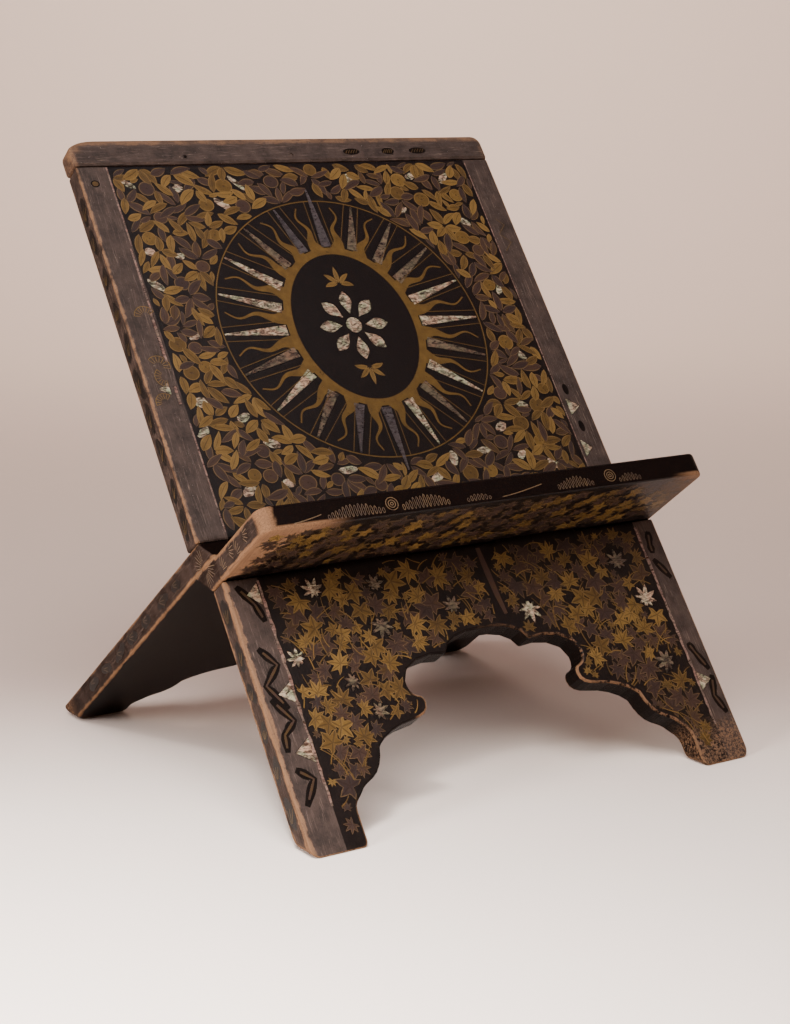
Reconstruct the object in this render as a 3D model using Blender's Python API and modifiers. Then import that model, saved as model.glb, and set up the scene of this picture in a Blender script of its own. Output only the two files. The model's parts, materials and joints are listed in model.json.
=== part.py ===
"""Folding book stand of two crossed, lacquered boards with an interlocking carved hinge.

The origin is on the floor under the middle of the stand's box.  +X runs along the hinge,
+Y points to the back and +Z is up.  Each leaf is drawn flat in its own frame, whose X is
the hinge, whose Z runs up the leaf and whose Y is its thickness, and it is then leant
about the hinge by the empty that carries it.

The upper board of the rest leaf lies behind the hinge axis and its legs lie in front.
The lip leaf is the other way round, so the two leaves fold flat against each other.
"""

import math

import bmesh
import bpy
from mathutils import Matrix, Vector
from mathutils.geometry import interpolate_bezier

MM = 0.001

# Driving dimensions
WIDTH = 310 * MM
THICKNESS = 15 * MM
HINGE_HEIGHT = 137 * MM
REST_LEAN = math.radians(35.5)
LIP_LEAN = math.radians(90) - REST_LEAN
REST_LENGTH = 295 * MM
LIP_LENGTH = 77 * MM
RAIL_WIDTH = 20 * MM
KNUCKLES = 5
KNUCKLE_REACH = 2 * THICKNESS

# Clearances
FOLD_GAP = 0.25 * MM
STOP_GAP = 0.5 * MM
KNUCKLE_GAP = 0.25 * MM
GAP = 0.3 * MM

# Worn edges and corners
ARRIS = 1.3 * MM
RAIL_ARRIS = 2.4 * MM
FOOT_CORNER = 6 * MM
FOOT_TOE = 3.5 * MM
FOOT_TIP_WEAR = 0.64 * MM
LIP_CORNER = 7 * MM
RAIL_OVERHANG = 1.2 * MM
RAIL_WORN_CORNER = (18 * MM, 8 * MM)
RAIL_CORNER = (7 * MM, 7 * MM)
HEEL_TRIM = 9 * MM
HEEL_ROUND = 5 * MM

# Angles between faces that count as one flat face, as a sharp edge and as smooth shading
FLAT_ANGLE = math.radians(0.5)
SHARP_ANGLE = math.radians(31)
SMOOTH_ANGLE = math.radians(32)

# The arch is cut with one template, which lies lower on the longer rear legs
REAR_ARCH_DROP = 69 * MM
FOOT_INNER = 119 * MM
FOOT_OVERCUT = 30 * MM

# Tongue of the rest board in the groove of the top rail, and the pegs through both
TONGUE_LENGTH = 11 * MM
TONGUE_THICKNESS = 5 * MM
TONGUE_INSET = 24 * MM
PEG_RADIUS = 1.2 * MM
PEG_SPACING = 78 * MM
PEG_RISE = 6 * MM
PEG_DEPTH = 12 * MM

# Mother-of-pearl, set in shallow pockets and standing a hair proud
PEARL_THICKNESS = 0.7 * MM
PEARL_PROUD = 0.1 * MM
SUN_CENTRE = (1.0 * MM, 149.6 * MM)
SUN_RAYS = 20
RAY_ROOT = (50 * MM, 59.5 * MM)
RAY_TIP = 93.5 * MM
LONG_RAY_TIP = 104 * MM
RAY_ROOT_WIDTH = 7.4 * MM
RAY_TIP_WIDTH = 1.0 * MM
ROSETTE_CENTRE = (0, 150 * MM)
ROSETTE_PETALS = 8
PETAL_ROOT = 8.5 * MM
PETAL_TIP = 25 * MM
PETAL_WIDTH = 8.4 * MM
ROSETTE_BUTTON = 5.5 * MM

# Pearl maple leaves on the front legs: across, up, radius in millimetres, turn in degrees
LEG_MAPLES = (
    (-101, -29, 8.5, 20), (-61, -31, 7, -35), (-65, -56, 9, 160), (-125, -68, 7.5, 40),
    (-95, -86, 6.5, 110), (-86, -106, 7, -70), (-14, -52, 7.5, 15), (38, -61, 9.5, 180),
    (115, -41, 9, 0), (125, -68, 10, -20), (122, -110, 9.5, 65),
)

# Pearl triangles in the borders: middle across, up, height and width in millimetres,
# and the side that they point to
LEG_TRIANGLES = (
    (-139, -26, 13, 8, -1), (-139, -86, 12, 9, -1), (-139.5, -120, 14, 10, -1), (144.5, -126, 12, 9, 1),
)
REST_TRIANGLES = ((-144, 116, 8, 7, -1), (143.5, 77, 12, 9, 1), (141, 46, 12, 7, 1))

# Pearl strips between border and field of the rest: middle and length in millimetres
REST_STRIPS = ((151, 34), (111, 12))
STRIP_ACROSS = -136.8 * MM
STRIP_WIDTH = 1.6 * MM

HALF = WIDTH / 2
KNUCKLE_WIDTH = WIDTH / KNUCKLES
REST_JOINT = REST_LENGTH - RAIL_WIDTH
FRONT_FOOT = HINGE_HEIGHT / math.cos(REST_LEAN)
REAR_FOOT = HINGE_HEIGHT / math.cos(LIP_LEAN)
FRONT_REACH = HINGE_HEIGHT * math.tan(REST_LEAN) + THICKNESS / math.cos(REST_LEAN) - FOOT_TIP_WEAR
REAR_REACH = HINGE_HEIGHT * math.tan(LIP_LEAN) + THICKNESS / math.cos(LIP_LEAN) - HEEL_TRIM
HINGE = Vector((0, (FRONT_REACH - REAR_REACH) / 2, HINGE_HEIGHT))


# ---------------------------------------------------------------- scene and objects

def clear_scene():
    for thing in list(bpy.data.objects):
        bpy.data.objects.remove(thing, do_unlink=True)


def new_collection(name):
    made = bpy.data.collections.new(name)
    bpy.context.scene.collection.children.link(made)
    return made


def new_material(name, colour, roughness, metallic=0.0):
    material = bpy.data.materials.new(name)
    material.use_nodes = True
    shader = material.node_tree.nodes["Principled BSDF"]
    shader.inputs["Base Color"].default_value = (*colour, 1)
    shader.inputs["Roughness"].default_value = roughness
    shader.inputs["Metallic"].default_value = metallic
    material.diffuse_color = (*colour, 1)
    return material


def move_to(thing, collection):
    for holder in list(thing.users_collection):
        holder.objects.unlink(thing)
    collection.objects.link(thing)


def baked(thing):
    """Replaces thing by a welded mesh of what its curve or modifiers make.

    Its points are rounded to the micrometre, so that faces meant to be flush are flush."""
    bpy.context.view_layer.update()
    graph = bpy.context.evaluated_depsgraph_get()
    mesh = bpy.data.meshes.new_from_object(thing.evaluated_get(graph))
    mesh.transform(thing.matrix_world)
    shape = bmesh.new()
    shape.from_mesh(mesh)
    for vertex in shape.verts:
        vertex.co = [round(value, 6) for value in vertex.co]
    bmesh.ops.remove_doubles(shape, verts=shape.verts, dist=0.00001)
    bmesh.ops.recalc_face_normals(shape, faces=shape.faces)
    shape.to_mesh(mesh)
    shape.free()
    name = thing.name
    bpy.data.objects.remove(thing, do_unlink=True)
    solid = bpy.data.objects.new(name, mesh)
    bpy.context.scene.collection.objects.link(solid)
    return solid


def combined(target, tool, operation):
    """Joins tool to target, or takes it away, and removes tool."""
    step = target.modifiers.new(operation.title(), "BOOLEAN")
    step.operation = operation
    step.object = tool
    solid = baked(target)
    bpy.data.objects.remove(tool, do_unlink=True)
    return solid


def rounded(thing, width):
    """Merges the flat faces that belong together, then rounds every sharp edge."""
    flatten = thing.modifiers.new("Flat faces", "DECIMATE")
    flatten.decimate_type = "DISSOLVE"
    flatten.angle_limit = FLAT_ANGLE
    bevel = thing.modifiers.new("Worn arris", "BEVEL")
    bevel.width = width
    bevel.segments = 2
    bevel.limit_method = "ANGLE"
    bevel.angle_limit = SHARP_ANGLE
    bevel.use_clamp_overlap = False
    return baked(thing)


def smooth(thing):
    thing.data.shade_smooth()
    thing.data.set_sharp_from_angle(angle=SMOOTH_ANGLE)


# ---------------------------------------------------------------- outlines

def arc(centre, radii, start, end, steps):
    """Points of an elliptical arc, with its angles in degrees."""
    points = []
    for step in range(steps + 1):
        angle = math.radians(start + (end - start) * step / steps)
        points.append((centre[0] + radii[0] * math.cos(angle), centre[1] + radii[1] * math.sin(angle)))
    return points


def through(knots, steps):
    """Points of a Bezier line; each later knot is its two handles and its point."""
    points = [knots[0]]
    for first, second, third in zip(knots[1::3], knots[2::3], knots[3::3]):
        line = interpolate_bezier(*(Vector((*p, 0)) for p in (points[-1], first, second, third)), steps + 1)
        points += [(p.x, p.y) for p in line[1:]]
    return points


def grown(outline, margin):
    """The outline of a closed shape, drawn anticlockwise, moved outwards by margin."""
    points = [Vector(p) for p in outline]
    area = sum(a.x * b.y - b.x * a.y for a, b in zip(points, points[1:] + points[:1]))
    side = margin if area > 0 else -margin
    made = []
    for before, here, after in zip(points[-1:] + points[:-1], points, points[1:] + points[:1]):
        into = (here - before).normalized()
        out = (after - here).normalized()
        normal = Vector((into.y + out.y, -into.x - out.x)).normalized()
        stretch = max(0.45, normal.dot(Vector((into.y, -into.x))))
        made.append(tuple(here + normal * side / stretch))
    return made


def turned(outline, angle, centre):
    """The outline turned about its own origin and moved to centre."""
    turn = Matrix.Rotation(angle, 2)
    return [tuple(turn @ Vector(p) + Vector(centre)) for p in outline]


def arch_half(drop):
    """Right half of the cusped arch, from its crown down to the inner side of a foot."""
    knots = (
        (0, -68), (16, -67.5), (27, -71), (30, -79.5),
        (42, -76.5), (62, -80.5), (62.5, -91.5), (63, -96), (61.5, -99.5), (58, -100.8),
        (55.5, -101), (54, -103), (54, -106), (54, -111.5), (59, -113.8), (66, -114.5),
        (77, -115.5), (87.5, -120), (92.5, -125.5), (94, -133), (98, -139.5), (103, -142),
        (107, -144), (110.5, -145.5), (112.5, -148.5), (115.5, -152), (119, -153), (119, -159),
    )
    return through([(x * MM, z * MM - drop) for x, z in knots], 4)


def legs_outline(foot, drop):
    """Outline of a pair of legs, longer than the distance from the hinge to the floor."""
    top = -(THICKNESS + STOP_GAP)
    bottom = -(foot + FOOT_OVERCUT)
    right = arch_half(drop) + [(FOOT_INNER, bottom), (HALF, bottom), (HALF, top)]
    left = [(-x, z) for x, z in reversed(right[1:])]
    return left + right


def panel_outline(bottom, top, corner):
    """Upper board of a leaf, with rounded top corners where corner is not 0."""
    outline = [(-HALF, bottom), (HALF, bottom)]
    if corner:
        outline += arc((HALF - corner, top - corner), (corner, corner), 0, 90, 6)
        outline += arc((corner - HALF, top - corner), (corner, corner), 90, 180, 6)
    else:
        outline += [(HALF, top), (-HALF, top)]
    return outline


def knuckle_profile(reach):
    """Section of a knuckle of the rest leaf, as thickness and height about the axis.

    Its two halves lie on opposite sides of the axis, and each ends in a 45 degree slope
    that lets the other leaf swing past."""
    slope = THICKNESS + STOP_GAP
    upper = [(FOLD_GAP, slope), (FOLD_GAP, reach), (THICKNESS, reach), (THICKNESS, FOLD_GAP - STOP_GAP)]
    lower = [(-y, -z) for y, z in upper]
    return upper + lower


# ---------------------------------------------------------------- solids from outlines

ACROSS_LEAF = Matrix.Rotation(math.radians(90), 4, "X")
ALONG_HINGE = Matrix(((0, 0, 1, 0), (1, 0, 0, 0), (0, 1, 0, 0), (0, 0, 0, 1)))


def extruded(name, outline, low, high, frame):
    """A solid with a flat outline, from low to high along the normal of its frame."""
    curve = bpy.data.curves.new(name, "CURVE")
    curve.dimensions = "2D"
    curve.fill_mode = "BOTH"
    curve.extrude = (high - low) / 2
    spline = curve.splines.new("POLY")
    spline.points.add(len(outline) - 1)
    for point, (x, y) in zip(spline.points, outline):
        point.co = (x, y, 0, 1)
    spline.use_cyclic_u = True
    solid = bpy.data.objects.new(name, curve)
    bpy.context.scene.collection.objects.link(solid)
    solid.matrix_world = frame @ Matrix.Translation((0, 0, (low + high) / 2))
    return baked(solid)


def board(name, outline, front, back):
    """A board whose outline lies in the leaf and whose faces are at front and back."""
    return extruded(name, outline, -back, -front, ACROSS_LEAF)


def knuckle(name, number, profile):
    left = -HALF + number * KNUCKLE_WIDTH
    right = left + KNUCKLE_WIDTH
    if number > 0:
        left += KNUCKLE_GAP
    if number < KNUCKLES - 1:
        right -= KNUCKLE_GAP
    return extruded(name, profile, left, right, ALONG_HINGE)


def block(name, low, high):
    bpy.ops.mesh.primitive_cube_add(size=1)
    solid = bpy.context.object
    solid.name = name
    low, high = Vector(low), Vector(high)
    solid.matrix_world = Matrix.Translation((low + high) / 2) @ Matrix.Diagonal((*(high - low), 1))
    return baked(solid)


# ---------------------------------------------------------------- the two leaves

def leaf(name, upper, legs, numbers, profile, lean):
    """One carved board: its upper part, its legs and its knuckles in one body."""
    solid = combined(upper, legs, "UNION")
    for number in numbers:
        solid = combined(solid, knuckle(name + "_knuckle", number, profile), "UNION")
    solid = rounded(trimmed(solid, lean, floor_trim()), ARRIS)
    solid.name = name
    return solid


def trimmed(thing, lean, trim):
    """Takes away from a leaf the trim, which is given where the leaf stands."""
    pose = Matrix.Translation(HINGE) @ Matrix.Rotation(lean, 4, "X")
    trim.data.transform(pose.inverted())
    return combined(thing, trim, "DIFFERENCE")


def floor_trim():
    """Takes away what is below the floor and rounds the corners of the feet."""
    right = [(WIDTH, -WIDTH), (WIDTH, FOOT_CORNER)]
    right += arc((HALF - FOOT_CORNER, FOOT_CORNER), (FOOT_CORNER, FOOT_CORNER), 360, 270, 5)
    right += arc((FOOT_INNER + FOOT_TOE, FOOT_TOE), (FOOT_TOE, FOOT_TOE), 270, 180, 4)
    left = [(-x, z) for x, z in reversed(right)]
    return board("floor_trim", right + left, -WIDTH, WIDTH)


def heel_trim():
    """Rounds the sharp heels of the rear legs, seen along the hinge."""
    back = HINGE.y + REAR_REACH
    outline = [(back + HEEL_ROUND * 3, -HEEL_ROUND), (back - HEEL_ROUND, -HEEL_ROUND)]
    outline += arc((back - HEEL_ROUND, HEEL_ROUND), (HEEL_ROUND, HEEL_ROUND), 270, 360, 5)
    outline += [(back, HEEL_ROUND * 3), (back + HEEL_ROUND * 3, HEEL_ROUND * 3)]
    return extruded("heel", outline, -HALF * 2, HALF * 2, ALONG_HINGE)


def make_rest_board():
    outline = panel_outline(THICKNESS + STOP_GAP, REST_JOINT, 0)
    upper = board("rest_board", outline, FOLD_GAP, THICKNESS)
    legs = board("front_legs", legs_outline(FRONT_FOOT, 0), -THICKNESS, -FOLD_GAP)
    profile = knuckle_profile(KNUCKLE_REACH)
    solid = leaf("rest_board", upper, legs, range(1, KNUCKLES, 2), profile, -REST_LEAN)
    middle = (FOLD_GAP + THICKNESS) / 2
    tongue = block(
        "tongue",
        (TONGUE_INSET - HALF, middle - TONGUE_THICKNESS / 2, REST_JOINT - TONGUE_LENGTH),
        (HALF - TONGUE_INSET, middle + TONGUE_THICKNESS / 2, REST_JOINT + TONGUE_LENGTH),
    )
    return combined(solid, tongue, "UNION")


def make_lip_board():
    outline = panel_outline(THICKNESS + STOP_GAP, LIP_LENGTH, LIP_CORNER)
    upper = board("lip_board", outline, -THICKNESS, -FOLD_GAP)
    legs = board("rear_legs", legs_outline(REAR_FOOT, REAR_ARCH_DROP), FOLD_GAP, THICKNESS)
    profile = [(-y, z) for y, z in knuckle_profile(KNUCKLE_REACH)]
    solid = leaf("lip_board", upper, legs, range(0, KNUCKLES, 2), profile, LIP_LEAN)
    return trimmed(solid, LIP_LEAN, heel_trim())


def make_top_rail():
    """Clamping rail across the end of the rest board, with a groove for its tongue."""
    left, right = -HALF - RAIL_OVERHANG, HALF + RAIL_OVERHANG
    bottom = REST_JOINT + GAP
    outline = [(left, bottom), (right, bottom)]
    outline += arc((right - RAIL_CORNER[0], REST_LENGTH - RAIL_CORNER[1]), RAIL_CORNER, 0, 90, 5)
    worn = (left + RAIL_WORN_CORNER[0], REST_LENGTH - RAIL_WORN_CORNER[1])
    outline += arc(worn, RAIL_WORN_CORNER, 90, 180, 7)
    rail = rounded(board("top_rail", outline, FOLD_GAP, THICKNESS), RAIL_ARRIS)
    middle = (FOLD_GAP + THICKNESS) / 2
    depth = TONGUE_THICKNESS / 2 + GAP
    groove = block(
        "groove",
        (TONGUE_INSET - HALF - GAP, middle - depth, REST_JOINT - GAP),
        (HALF - TONGUE_INSET + GAP, middle + depth, REST_JOINT + TONGUE_LENGTH + GAP),
    )
    return combined(rail, groove, "DIFFERENCE")


# ---------------------------------------------------------------- pegs and pearl

def peg_shape(name, across, radius, front, back):
    """A round peg through the thickness of the rest."""
    outline = arc((across, REST_JOINT + PEG_RISE), (radius, radius), 0, 337.5, 15)
    return board(name, outline, front, back)


def ray_outline(number):
    """A long wedge that points away from the middle of the sun."""
    angle = math.radians(90 + 360 / SUN_RAYS * number)
    root = math.hypot(RAY_ROOT[0] * math.cos(angle), RAY_ROOT[1] * math.sin(angle))
    tip = LONG_RAY_TIP if number % (SUN_RAYS // 2) == 0 else RAY_TIP
    wedge = [
        (root, -RAY_ROOT_WIDTH / 2), (tip, -RAY_TIP_WIDTH / 2),
        (tip, RAY_TIP_WIDTH / 2), (root, RAY_ROOT_WIDTH / 2),
    ]
    return turned(wedge, angle, SUN_CENTRE)


def petal_outline(number):
    """A leaf-shaped petal of the rosette in the middle of the sun."""
    steps = 7
    side = []
    for step in range(steps + 1):
        along = step / steps
        width = PETAL_WIDTH / 2 * math.sin(math.pi * along ** 1.25)
        side.append((PETAL_ROOT + (PETAL_TIP - PETAL_ROOT) * along, width))
    outline = [(x, -y) for x, y in side] + side[-2:0:-1]
    return turned(outline, math.radians(90 + 360 / ROSETTE_PETALS * number), ROSETTE_CENTRE)


def maple_outline(across, up, radius, turn):
    """A maple leaf with seven pointed lobes that shorten towards its stalk."""
    size = radius * MM
    outline = [(-0.10 * size, -0.45 * size), (0.10 * size, -0.45 * size)]
    for place in range(-3, 4):
        reach = size * (1 - 0.045 * place * place)
        for aside, share in ((21, 0.42), (9, 0.74), (0, 1.0), (-9, 0.74)):
            angle = math.radians(90 + 43 * place - aside)
            outline.append((reach * share * math.cos(angle), reach * share * math.sin(angle)))
    notch_across, notch_up = outline[2]
    outline.append((-notch_across, notch_up))
    return turned(outline, math.radians(turn), (across * MM, up * MM))


def triangle_outline(across, up, height, width, side):
    points = [(-side * width / 2, -height / 2), (side * width / 2, 0), (-side * width / 2, height / 2)]
    return [((across + x) * MM, (up + z) * MM) for x, z in points]


def strip_outline(middle, length):
    return [
        (STRIP_ACROSS + x * STRIP_WIDTH / 2, (middle + z * length / 2) * MM)
        for x, z in ((-1, -1), (1, -1), (1, 1), (-1, 1))
    ]


def button_outline():
    return arc(ROSETTE_CENTRE, (ROSETTE_BUTTON, ROSETTE_BUTTON), 0, 345, 23)


def pearl_outlines():
    """Names, outlines and carrying face of all the pearl set in the rest leaf."""
    rest_face, leg_face = FOLD_GAP, -THICKNESS
    pieces = [(f"sun_ray_{n + 1:02d}", ray_outline(n), rest_face) for n in range(SUN_RAYS)]
    pieces += [(f"rosette_petal_{n + 1}", petal_outline(n), rest_face) for n in range(ROSETTE_PETALS)]
    pieces.append(("rosette_button", button_outline(), rest_face))
    families = (
        ("rest_strip_{}", strip_outline, REST_STRIPS, rest_face),
        ("rest_triangle_{}", triangle_outline, REST_TRIANGLES, rest_face),
        ("leg_triangle_{}", triangle_outline, LEG_TRIANGLES, leg_face),
        ("leg_maple_{:02d}", maple_outline, LEG_MAPLES, leg_face),
    )
    for name, outline, places, face in families:
        for number, place in enumerate(places, 1):
            pieces.append((name.format(number), outline(*place), face))
    return pieces


# ---------------------------------------------------------------- assembly

def carried_by(empty, things):
    for thing in things:
        thing.parent = empty


def hinge_empty(name, lean, collection):
    empty = bpy.data.objects.new(name, None)
    empty.location = HINGE
    empty.rotation_euler.x = lean
    collection.objects.link(empty)
    return empty


def finish(thing, material, collection):
    thing.data.materials.clear()
    thing.data.materials.append(material)
    smooth(thing)
    move_to(thing, collection)
    return thing


def cut_with(thing, cutters):
    step = thing.modifiers.new("Pockets", "BOOLEAN")
    step.operand_type = "COLLECTION"
    step.collection = cutters


def build():
    clear_scene()
    stand = new_collection("folding_book_stand")
    pocket_cutters = new_collection("pocket_cutters")
    rail_cutters = new_collection("rail_cutters")
    lacquer = new_material("lacquered_board", (0.035, 0.022, 0.018), 0.32)
    lip_lacquer = new_material("lip_lacquer", (0.03, 0.02, 0.017), 0.34)
    rail_lacquer = new_material("rail_lacquer", (0.09, 0.07, 0.06), 0.45)
    bamboo = new_material("peg_wood", (0.16, 0.09, 0.04), 0.7)
    pearl = new_material("mother_of_pearl", (0.62, 0.6, 0.52), 0.22)

    rest_hinge = hinge_empty("rest_hinge", -REST_LEAN, stand)
    lip_hinge = hinge_empty("lip_hinge", LIP_LEAN, stand)
    rest_board = finish(make_rest_board(), lacquer, stand)
    lip_board = finish(make_lip_board(), lip_lacquer, stand)
    top_rail = finish(make_top_rail(), rail_lacquer, stand)
    rest_parts = [rest_board, top_rail]

    for number, across in enumerate((-PEG_SPACING, 0, PEG_SPACING)):
        front = FOLD_GAP + GAP
        peg = peg_shape(f"rail_peg_{number + 1}", across, PEG_RADIUS, front, front + PEG_DEPTH)
        hole = peg_shape("peg_hole", across, PEG_RADIUS + GAP, -GAP, front + PEG_DEPTH + GAP)
        move_to(hole, rail_cutters)
        rest_parts.append(finish(peg, bamboo, stand))
        rest_parts.append(hole)

    for name, outline, face in pearl_outlines():
        front = face - PEARL_PROUD
        piece = board(name, outline, front, front + PEARL_THICKNESS)
        pocket = board(name + "_pocket", grown(outline, GAP), front - GAP, front + PEARL_THICKNESS + GAP)
        move_to(pocket, pocket_cutters)
        rest_parts.append(finish(piece, pearl, stand))
        rest_parts.append(pocket)

    for cutter in [*pocket_cutters.objects, *rail_cutters.objects]:
        cutter.hide_render = True
        cutter.display_type = "WIRE"
    cut_with(rest_board, rail_cutters)
    cut_with(rest_board, pocket_cutters)
    cut_with(top_rail, rail_cutters)
    carried_by(rest_hinge, rest_parts)
    carried_by(lip_hinge, [lip_board])


build()
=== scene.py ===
"""Visual model of the folding lacquer book stand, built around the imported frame.

The boards keep their CAD shapes and get lacquer, wear and wood from nodes.  The gold and
brown decoration is a thin raised relief: each leaf, flame, line and chip is a closed plate
laid on its face.  Lengths are in millimetres in the frame of the leaf that a face is on:
u and v run along the face and w stands out of it.
"""

import json
import math
import random

import bpy
from mathutils import Matrix, Vector
from mathutils.bvhtree import BVHTree


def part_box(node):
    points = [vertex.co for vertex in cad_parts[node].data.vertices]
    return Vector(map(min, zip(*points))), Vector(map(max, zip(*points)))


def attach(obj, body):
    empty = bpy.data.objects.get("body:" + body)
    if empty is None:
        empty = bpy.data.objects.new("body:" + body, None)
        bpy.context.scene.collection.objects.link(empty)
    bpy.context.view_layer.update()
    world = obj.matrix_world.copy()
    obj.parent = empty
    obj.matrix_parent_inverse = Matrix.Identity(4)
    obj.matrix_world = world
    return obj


MM = 0.001
FULL_TURN = 2 * math.pi

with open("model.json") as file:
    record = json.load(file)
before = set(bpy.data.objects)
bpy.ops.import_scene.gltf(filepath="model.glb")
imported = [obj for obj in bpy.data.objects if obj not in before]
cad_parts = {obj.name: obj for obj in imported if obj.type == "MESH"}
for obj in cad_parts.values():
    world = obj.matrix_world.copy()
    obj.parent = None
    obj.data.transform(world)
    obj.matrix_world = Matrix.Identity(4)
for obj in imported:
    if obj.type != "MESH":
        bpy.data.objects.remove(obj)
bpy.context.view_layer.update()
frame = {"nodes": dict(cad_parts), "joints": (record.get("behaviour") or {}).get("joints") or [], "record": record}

# ---------------------------------------------------------------- the two leaves

HALF_WIDTH = 155
THICKNESS = 15
FOLD_GAP = 0.25
PANEL_TOP = 275
LIP_TOP = 77
FIELD_HALF = 134.5
LEG_FIELD = (-133.4, 138.4)
BORDER_FADE = 0.1
REAR_ARCH_DROP = 69
# How far from the hinge the lacquer starts to shine and shines in full
HINGE_DULL = (14, 20)

HINGE = Vector(frame["joints"][0]["pos_m"])
BOOK_REST = next(m for m in frame["record"]["mounts"] if m["name"] == "book_rest")
LEAN = math.atan2(BOOK_REST["axis"][2], -BOOK_REST["axis"][1])


class Leaf:
    """A leaf of the stand: its body, its lacquer's slot and how far it is turned at rest."""

    def __init__(self, body, slot, turn):
        self.body, self.slot, self.turn = body, slot, turn
        self.matrix = Matrix.Translation(HINGE) @ Matrix.Rotation(turn, 4, "X")


REST = Leaf("rest_leaf", "rest_lacquer", -LEAN)
LIP = Leaf("lip_leaf", "lip_lacquer", math.pi / 2 - LEAN)

SUN_CENTRE = (1.0, 149.6)
SUN_RADIUS = 95
OVAL = (43.5, 53.5)
RING_OUTER = (49.0, 58.5)
SUN_RAYS = 20
ROSETTE = (0, 150)

# Relief: the lowest plates, the step to those that overlap them, the rise to the rib, how far
# the plates reach into the face, and how many can overlap
BASE = 0.05
STEP = 0.025
CROWN = 0.02
SINK = -0.03
LEVELS = 6


def cad_tree():
    """A ray-casting tree of every CAD solid at rest."""
    points, faces = [], []
    for node in frame["nodes"].values():
        start = len(points)
        points += [v.co.copy() for v in node.data.vertices]
        faces += [[start + i for i in p.vertices] for p in node.data.polygons]
    return BVHTree.FromPolygons(points, faces)


CAD_TREE = cad_tree()


class Face:
    """A flat face of a leaf.  Its matrix turns (u, v, w) in millimetres into the row frame."""

    def __init__(self, leaf, origin, along, up):
        self.body, self.slot = leaf.body, leaf.slot
        out = Vector(along).cross(Vector(up))
        axes = Matrix((along, up, out)).transposed().to_4x4()
        place = leaf.matrix @ Matrix.Translation(Vector(origin) * MM)
        self.matrix = place @ axes @ Matrix.Diagonal((MM, MM, MM, 1))
        self.out = (self.matrix.to_3x3() @ Vector((0, 0, 1))).normalized()

    def flat(self, u, v):
        """Whether the CAD surface is there, flat and at the face's own height."""
        lift, height_error, parallel = 3, 0.05, 0.99
        start = self.matrix @ Vector((u, v, lift))
        place, normal, _, distance = CAD_TREE.ray_cast(start, -self.out, 2 * lift * MM)
        if place is None:
            return False
        return abs(distance / MM - lift) < height_error and normal.dot(self.out) > parallel


X, Y, Z = (1, 0, 0), (0, 1, 0), (0, 0, 1)
MINUS_X, MINUS_Y = (-1, 0, 0), (0, -1, 0)

PANEL = Face(REST, (0, FOLD_GAP, 0), X, Z)
PANEL_BACK = Face(REST, (0, THICKNESS, 0), MINUS_X, Z)
LEGS = Face(REST, (0, -THICKNESS, 0), X, Z)
REST_LEFT = Face(REST, (-HALF_WIDTH, 0, 0), MINUS_Y, Z)
REST_RIGHT = Face(REST, (HALF_WIDTH, 0, 0), Y, Z)
LIP_OUTER = Face(LIP, (0, -THICKNESS, 0), X, Z)
LIP_INNER = Face(LIP, (0, -FOLD_GAP, 0), MINUS_X, Z)
LIP_EDGE = Face(LIP, (0, 0, LIP_TOP), X, Y)
LIP_LEFT = Face(LIP, (-HALF_WIDTH, 0, 0), MINUS_Y, Z)
LIP_RIGHT = Face(LIP, (HALF_WIDTH, 0, 0), Y, Z)
REAR_OUTER = Face(LIP, (0, THICKNESS, 0), MINUS_X, Z)


# ---------------------------------------------------------------- materials

def paint(red, green, blue):
    """A linear colour from the 0 to 255 values of a paint chart."""
    def linear(value):
        value /= 255
        return value / 12.92 if value <= 0.04045 else ((value + 0.055) / 1.055) ** 2.4
    return linear(red), linear(green), linear(blue), 1


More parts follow.
